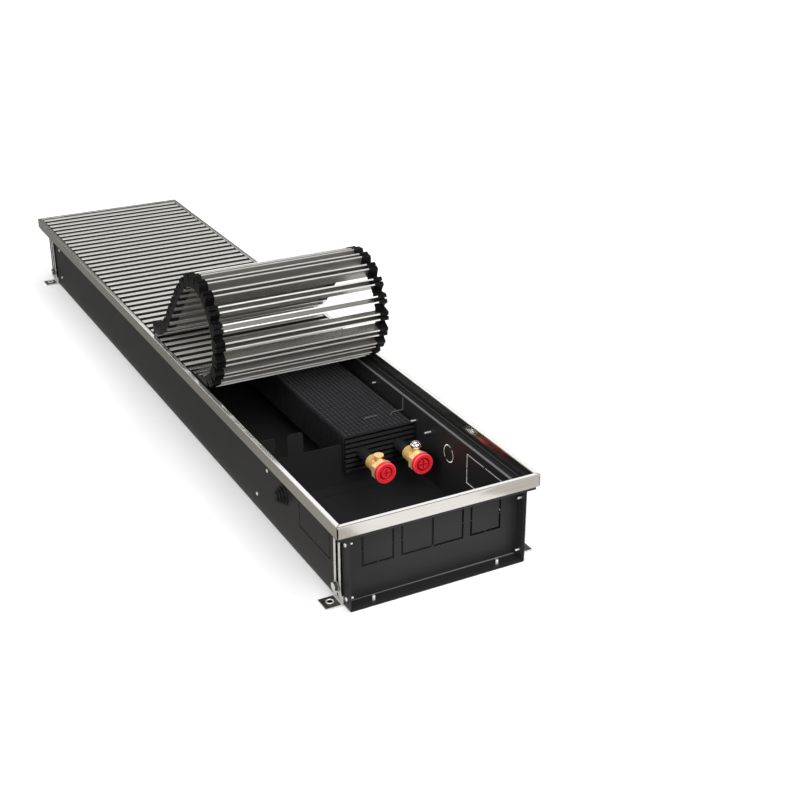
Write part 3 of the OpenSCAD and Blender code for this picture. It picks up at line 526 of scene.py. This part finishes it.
middleParts, lastParts = slatParts(2), slatParts(24)
laidMesh = meshFrom("laidSlat", middleParts["slat"].copy(), ["anodisedSlatLaid", "sawnEndShade"])
slatMesh = meshFrom("slat", middleParts["slat"], ["anodisedSlat", "sawnEndShade"])
linkMesh = meshFrom("links", middleParts["links"], ["mouldedNylon", "nylonEdgeHighlight"])
lastLinkMesh = meshFrom("lastLinks", lastParts["links"], ["mouldedNylon", "nylonEdgeHighlight"])
lastParts["slat"].free()

rolledCount = sum(1 for name in joints if name.startswith("slat_hinge"))
for number in range(1, rolledCount + 1):
    body, place = "slat_%02d" % number, hingeFrame(number)
    links = linkMesh if number < rolledCount else lastLinkMesh
    showMesh("rolledSlat_%02d" % number, slatMesh, body, ["grille_slat_%02d" % number], place)
    showMesh("rolledLinks_%02d" % number, links, body, ["grille_slat_%02d" % number], place)

first = Vector(joints["slat_hinge_01"]["pos_m"])
low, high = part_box("grille_flat_slats")
pitch = (Vector(joints["slat_hinge_02"]["pos_m"]) - first).length
flatCount = round((high.y - first.y) / pitch + 0.25)
for number in range(1, flatCount + 1):
    place = Matrix.Translation(first + Vector((0, number * pitch, 0)))
    showMesh("flatSlat_%02d" % number, laidMesh, "grille", ["grille_flat_slats"], place)
    showMesh("flatLinks_%02d" % number, linkMesh, "grille", ["grille_flat_links"], place)
print("grille laid:", flatCount, "flat and", rolledCount, "rolled slats")


# Heat exchanger: thin fins pressed into a zigzag, close together

finValues = {"pitch": 4.7, "thickness": 1.1, "wave": 5.8, "swing": 1.9}

low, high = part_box("exchanger_fins")
shape = bmesh.new()
steps = round((high.x - low.x) / (finValues["wave"] * mm / 2))
count = int((high.y - low.y) / (finValues["pitch"] * mm))
for k in range(count + 1):
    y = low.y + (high.y - low.y) * k / count
    rows = []
    for side in (-1, 1):
        for z in (low.z, high.z):
            row = []
            for s in range(steps + 1):
                x = low.x + (high.x - low.x) * s / steps
                swing = finValues["swing"] * mm * (s % 2 - 0.5)
                row.append(shape.verts.new((x, y + swing + side * finValues["thickness"] * mm / 2, z)))
            rows.append(row)
    frontLow, frontTop, backLow, backTop = rows
    for s in range(steps):
        shape.faces.new((frontLow[s], frontLow[s + 1], frontTop[s + 1], frontTop[s]))
        shape.faces.new((backLow[s + 1], backLow[s], backTop[s], backTop[s + 1]))
        crest = shape.faces.new((frontTop[s], frontTop[s + 1], backTop[s + 1], backTop[s]))
        crest.material_index = s % 2  # every second run of the zigzag gets a painted highlight
        shape.faces.new((frontLow[s + 1], frontLow[s], backLow[s], backLow[s + 1]))
    shape.faces.new((frontLow[0], frontTop[0], backTop[0], backLow[0]))
    shape.faces.new((frontTop[-1], frontLow[-1], backLow[-1], backTop[-1]))
finMesh = meshFrom("fins", shape, ["lacqueredFin", "finCrestHighlight"])
showMesh("exchanger_fins_close", finMesh, "heater", ["exchanger_fins"])
print("exchanger built:", count + 1, "fins")


# Fittings, caps and small parts: body, finish and rounding of each

smallParts = {
    "exchanger_end_fins": ("heater", "endFinShade", 0.3), "exchanger_tube": ("heater", "lacqueredTube", 0.3),
    "exchanger_clips": ("heater", "phosphatedWire", 0.3),
    "fitting_return": ("heater", "stampedBrass", 0.5), "fitting_supply": ("heater", "stampedBrass", 0.5),
    "blanking_plug": ("heater", "stampedBrass", 0.35), "air_vent_body": ("heater", "platedBrass", 0.3),
    "air_vent_spindle": ("air_vent_spindle", "platedBrass", 0.2),
    "cap_return": ("cap_return", "redPolyethylene", 0.3),
    "cap_supply": ("cap_supply", "redPolyethylene", 0.3),
    "foot_near_left": ("foot_near_left", "zincPlatedSteel", 0.3),
    "foot_near_right": ("foot_near_right", "zincPlatedSteel", 0.3),
    "foot_far_left": ("foot_far_left", "zincPlatedSteel", 0.3),
    "foot_far_right": ("foot_far_right", "zincPlatedSteel", 0.3),
    "foot_bolts": ("heater", "brightZinc", 0.4), "end_plate_screws": ("heater", "brightZinc", 0.4),
    "wall_screws": ("heater", "brightZinc", 0.4), "cable_grommet": ("heater", "blackRubber", 0.3),
    # the corner keys are painted black: painted shade in the mitres
    "rubber_strips": ("heater", "blackRubber", 0.3), "frame_corner_keys": ("heater", "paintedShadeBlack", 0.3),
}

capValues = {"below": 0.25, "deepest": 2.0, "radius": 9.0, "cross": 5.5, "longer": 1.28, "ring": 6.8,
             "wider": 1.12, "ringGrow": 0.3, "rim": 1.2, "rimFrom": 0.3, "rimSteps": 4, "level": 0.01}


# the cross and ring are drawn out a little, the groove painted dark as painted shade, and the rim rolled over and
# painted pale as a painted highlight
def finishCap(shape, node):
    low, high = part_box(node)
    middle = (low + high) / 2
    rim = []
    for edge in shape.edges:
        spot = (edge.verts[0].co + edge.verts[1].co) / 2
        away = math.hypot(spot.x - middle.x, spot.z - middle.z)
        level = abs(edge.verts[0].co.y - edge.verts[1].co.y) < capValues["level"] * mm
        outside = away > (high.x - low.x) / 2 - capValues["rimFrom"] * mm
        if level and outside and edge.calc_face_angle(0) > 1:
            rim.append(edge)
    for vert in shape.verts:
        away = math.hypot(vert.co.x - middle.x, vert.co.z - middle.z) / mm
        if (vert.co.y - low.y) / mm < capValues["deepest"] and away < capValues["radius"]:
            grow = math.copysign(capValues["ringGrow"], away - capValues["ring"]) / max(away, 1)
            scale = capValues["longer"] if away < capValues["cross"] else capValues["wider"] + grow
            vert.co.x = middle.x + (vert.co.x - middle.x) * scale
            vert.co.z = middle.z + (vert.co.z - middle.z) * scale
    for face in shape.faces:
        spot = face.calc_center_median()
        depth = (spot.y - low.y) / mm
        away = math.hypot(spot.x - middle.x, spot.z - middle.z) / mm
        inGroove = away < capValues["radius"] * capValues["wider"]
        if inGroove and capValues["below"] < depth < capValues["deepest"]:
            face.material_index = 1
    rolled = bmesh.ops.bevel(shape, geom=rim, offset=capValues["rim"] * mm, offset_type="OFFSET",
                             segments=capValues["rimSteps"], profile=0.5, affect="EDGES", clamp_overlap=False)
    for face in rolled["faces"]:
        face.material_index = 2


footValues = {"shoulder": (12, 18), "narrower": 2.2, "slot": 4.0, "tabTop": 4}


# the leg is drawn in above its shoulders, and its cut edges and slot are painted black as painted shade
def finishFoot(shape, node):
    low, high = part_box(node)
    middle = (low.y + high.y) / 2
    for height in footValues["shoulder"]:
        cutAt(shape, height * mm)
    for vert in shape.verts:
        off = vert.co.y - middle
        if vert.co.z > (footValues["shoulder"][1] - 0.1) * mm and abs(off) > footValues["slot"] * mm:
            vert.co.y -= math.copysign(footValues["narrower"] * mm, off)
    for face in shape.faces:
        inside = all(abs(vert.co.y - middle) < footValues["slot"] * mm for vert in face.verts)
        slotShade = inside and abs(face.normal.x) < 0.5 or abs(face.normal.y) > facing
        if slotShade and face.calc_center_median().z > footValues["tabTop"] * mm:
            face.material_index = 2


# cuts and widest are shares of the knob's height
ventValues = {"tall": 6.5, "inner": 3.4, "cuts": (0.3, 0.5, 0.65, 0.8, 0.92), "widest": 0.35, "round": 0.8}


# the vent's knob swells to a ball, with its flutes running over it
def finishVent(shape, node):
    low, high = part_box(node)
    middle = (low + high) / 2
    tall = ventValues["tall"] * mm
    for share in ventValues["cuts"]:
        cutAt(shape, high.z - tall * (1 - share))
    for vert in shape.verts:
        off = (vert.co.z - high.z) / tall + 1 - ventValues["widest"]
        if math.hypot(vert.co.x - middle.x, vert.co.y - middle.y) > ventValues["inner"] * mm:
            scale = math.sqrt(1 - (off * ventValues["round"] / (1 - ventValues["widest"])) ** 2)
            vert.co.x = middle.x + (vert.co.x - middle.x) * scale
            vert.co.y = middle.y + (vert.co.y - middle.y) * scale


sideScrew = {"from": 108, "scale": 0.7}  # from how far out, in millimetres, a screw counts as one


# the screws driven from the sides have smaller heads
def finishScrews(shape, node):
    for island in islandsOf(shape):
        reach = max(abs(vert.co.x) for vert in island) / mm
        if reach > sideScrew["from"]:
            middle = sum((vert.co for vert in island), Vector()) / len(island)
            for vert in island:
                vert.co.y = middle.y + (vert.co.y - middle.y) * sideScrew["scale"]
                vert.co.z = middle.z + (vert.co.z - middle.z) * sideScrew["scale"]


tabScrew = {"shank": 3.0, "sunk": 0.5, "radius": 4.7, "height": 1.4, "edge": 0.4, "socket": 3.5,
            "depth": 1.2, "sides": 24, "tab": 2, "above": 0.1}


# a socket screw standing in the hole of a foot's tab
def addTabScrew(node):
    pattern = [mount for mount in frame["record"]["mounts"] if mount["name"] == "floor_fixing"][0]["dims"]
    side = -1 if node.endswith("left") else 1
    end = -1 if "near" in node else 1
    x = side * pattern["spacing_x_mm"] / 2 * mm
    y = end * pattern["spacing_y_mm"] / 2 * mm
    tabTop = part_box(node)[0].z + (tabScrew["tab"] + tabScrew["above"]) * mm
    radius, height, sides = tabScrew["radius"], tabScrew["height"], tabScrew["sides"]
    outline = ((tabScrew["shank"], -tabScrew["sunk"]), (tabScrew["shank"], 0), (radius, 0),
               (radius, height - tabScrew["edge"]), (radius - tabScrew["edge"], height),
               (tabScrew["socket"], height), (tabScrew["socket"], height - tabScrew["depth"]))
    shape = bmesh.new()
    rings = []
    for out, up in outline:
        turns = [2 * math.pi * k / sides for k in range(sides)]
        rings.append([shape.verts.new((x + out * mm * math.cos(turn), y + out * mm * math.sin(turn),
                                       tabTop + up * mm)) for turn in turns])
    shape.faces.new(list(reversed(rings[0])))
    for lower, upper in zip(rings, rings[1:]):
        for k in range(sides):
            shape.faces.new((lower[k - 1], lower[k], upper[k], upper[k - 1]))
    socket = shape.faces.new(rings[-1])
    # the socket is painted black: painted shade
    socket.material_index = 1
    mesh = meshFrom(node + "_screw", shape, ["brightZinc", "paintedShadeBlack"])
    showMesh(node + "_tab_screw", mesh, node)


turnedValues = {"from": -397.5, "boltSide": 0.7}


# the fittings' hexagons and fronts and the whole plug are turned bright, partly a painted highlight; the bolts'
# sides are painted dark as painted shade, their heads stay bright
def brightenFlats(shape, node):
    for face in shape.faces:
        spot = face.calc_center_median()
        if node == "foot_bolts":
            face.material_index = 1 if abs(face.normal.x) < turnedValues["boltSide"] else 0
        elif node == "blanking_plug":
            face.material_index = 1
        elif spot.y < turnedValues["from"] * mm:
            face.material_index = 1


# by the first word of a node's name: what shapes it, and the looks of its faces beyond the first
shaping = {"cap": finishCap, "foot": finishFoot, "air": finishVent, "end": finishScrews,
           "wall": finishScrews}
moreLooks = {"cap": ["capGrooveShade", "capRimHighlight"],
             "foot": ["zincSteelShade", "paintedShadeBlack"],
             "fitting": ["turnedBrassHighlight"], "blanking": ["turnedBrassHighlight"]}
for node, (body, finish, width) in smallParts.items():
    shape = solidOf(node)
    kind = node.split("_")[0]
    if kind in shaping and node not in ("foot_bolts", "air_vent_spindle"):
        shaping[kind](shape, node)
    if kind in ("fitting", "blanking") or node == "foot_bolts":
        brightenFlats(shape, node)
    roundEdges(shape, width)
    # on the feet the up-facing faces are painted dark, painted shade, and each foot gets its tab screw
    if kind == "foot" and node != "foot_bolts":
        for face in shape.faces:
            if face.normal.z > facing and face.material_index == 0:
                face.material_index = 1
        addTabScrew(node)
    looks = [finish] + moreLooks.get(kind, [])
    showMesh(node + "_finished", meshFrom(node, shape, looks), body, [node])
print("small parts finished")


# Floor and light: a white sweep that keeps the heater's soft shadow

stageValues = {"floor": "#f4f4f4", "floorRadius": 9, "floorSides": 96, "below": 0.0004, "ownLight": 0.14,
               "ambient": 0.42, "lampAngle": 40,
               "key": 0.9, "keyFrom": (0.75, -0.25, 1.3),
               "fill": 2.0, "fillFrom": (-0.1, -1.0, 0.9),
               "side": 1.3, "sideFrom": (-1.0, -0.3, 0.55)}


# 1 for the rays that show the background itself, 0 for those that only light the object
def seenRays(tree):
    path = addNode(tree, "LightPath")
    seen = addNode(tree, "Math", {0: path.outputs["Is Camera Ray"], 1: path.outputs["Is Glossy Ray"]},
                   operation="MAXIMUM")
    return addNode(tree, "Math", {0: seen.outputs[0], 1: path.outputs["Is Transmission Ray"]},
                   operation="MAXIMUM").outputs[0]


world = bpy.data.worlds.new("studio")
scene.world = world
world.use_nodes = True
tree = world.node_tree
tree.nodes.clear()
around = addNode(tree, "Background", {"Color": linear("#ffffff"), "Strength": stageValues["ambient"]})
seen = addNode(tree, "Background", {"Color": linear("#ffffff"), "Strength": 1.0})
mixed = addNode(tree, "MixShader", {0: seenRays(tree), 1: around.outputs[0], 2: seen.outputs[0]})
addNode(tree, "OutputWorld", {"Surface": mixed.outputs[0]})

shape = bmesh.new()
bmesh.ops.create_circle(shape, cap_ends=True, segments=stageValues["floorSides"],
                        radius=stageValues["floorRadius"])
floorMesh = bpy.data.meshes.new("floor")
shape.to_mesh(floorMesh)
shape.free()
floor = bpy.data.objects.new("floor", floorMesh)
floor.location.z = -stageValues["below"]
scene.collection.objects.link(floor)
made = bpy.data.materials.new("paperSweep")
made.use_nodes = True
tree = made.node_tree
tree.nodes.clear()
paper = addNode(tree, "BsdfDiffuse", {"Color": linear(stageValues["floor"])})
glow = addNode(tree, "Emission", {"Color": linear("#ffffff"), "Strength": stageValues["ownLight"]})
lit = addNode(tree, "AddShader", {0: paper.outputs[0], 1: glow.outputs[0]})
mixed = addNode(tree, "MixShader", {0: seenRays(tree), 1: paper.outputs[0], 2: lit.outputs[0]})
addNode(tree, "OutputMaterial", {"Surface": mixed.outputs[0]})
floorMesh.materials.append(made)

for name in ("key", "fill", "side"):
    lamp = bpy.data.lights.new(name, "SUN")
    lamp.energy = stageValues[name]
    lamp.angle = math.radians(stageValues["lampAngle"])
    holder = bpy.data.objects.new(name, lamp)
    holder.rotation_euler = Vector(stageValues[name + "From"]).to_track_quat("Z", "Y").to_euler()
    scene.collection.objects.link(holder)

# glowing cards that only the gloss mirrors, painted reflections: overhead, on the floor to the left where they
# paint the floor's shadow into the reflections, before the near end, and beyond the far end; the one at the left
# grows paler towards its near end, as that shadow narrows
flags = {
    "overhead": {"size": (6.0, 3.4), "place": (0, 0, 1.9), "tone": "#5a5a58"},
    "leftFloor": {"size": (1.8, 4.0), "place": (-1.014, 0.2, 0.0006), "tone": "#85847f",
                  "nearTone": "#a9a69f", "from": -0.72, "to": -0.3},
    "nearLeft": {"size": (0.6, 0.36), "place": (-0.33, -0.8, 0.0006), "tone": "#d6d1ca"},
    "nearRight": {"size": (0.6, 0.36), "place": (0.47, -0.8, 0.0006), "tone": "#e2deda"},
    "farWall": {"size": (14, 2.9), "place": (1.5, 7, 1.45), "tilt": 90, "tone": "#2e2e2c"},
}
for name, flag in flags.items():
    shape = bmesh.new()
    bmesh.ops.create_grid(shape, x_segments=1, y_segments=1, size=0.5)
    bmesh.ops.scale(shape, vec=(*flag["size"], 1), verts=shape.verts)
    flagMesh = bpy.data.meshes.new(name)
    shape.to_mesh(flagMesh)
    shape.free()
    card = bpy.data.objects.new(name, flagMesh)
    card.location = flag["place"]
    card.rotation_euler.x = math.radians(flag.get("tilt", 0))
    for ray in ("camera", "diffuse", "transmission", "volume_scatter", "shadow"):
        setattr(card, "visible_" + ray, False)
    scene.collection.objects.link(card)
    reflectionGlow = bpy.data.materials.new(name + "Cloth")
    reflectionGlow.use_nodes = True
    tree = reflectionGlow.node_tree
    tree.nodes.clear()
    glow = addNode(tree, "Emission", {"Color": linear(flag["tone"]), "Strength": 1.0})
    if "nearTone" in flag:
        place = addNode(tree, "TexCoord").outputs["Object"]
        along = addNode(tree, "SeparateXYZ", {"Vector": place}).outputs["Y"]
        share = addNode(tree, "MapRange", {"Value": along, "From Min": flag["from"], "From Max": flag["to"]})
        shade = addNode(tree, "Mix", {0: share.outputs["Result"], 6: linear(flag["nearTone"]),
                                      7: linear(flag["tone"])}, data_type="RGBA")
        tree.links.new(shade.outputs[2], glow.inputs["Color"])
    addNode(tree, "OutputMaterial", {"Surface": glow.outputs[0]})
    flagMesh.materials.append(reflectionGlow)
print("floor and light set")
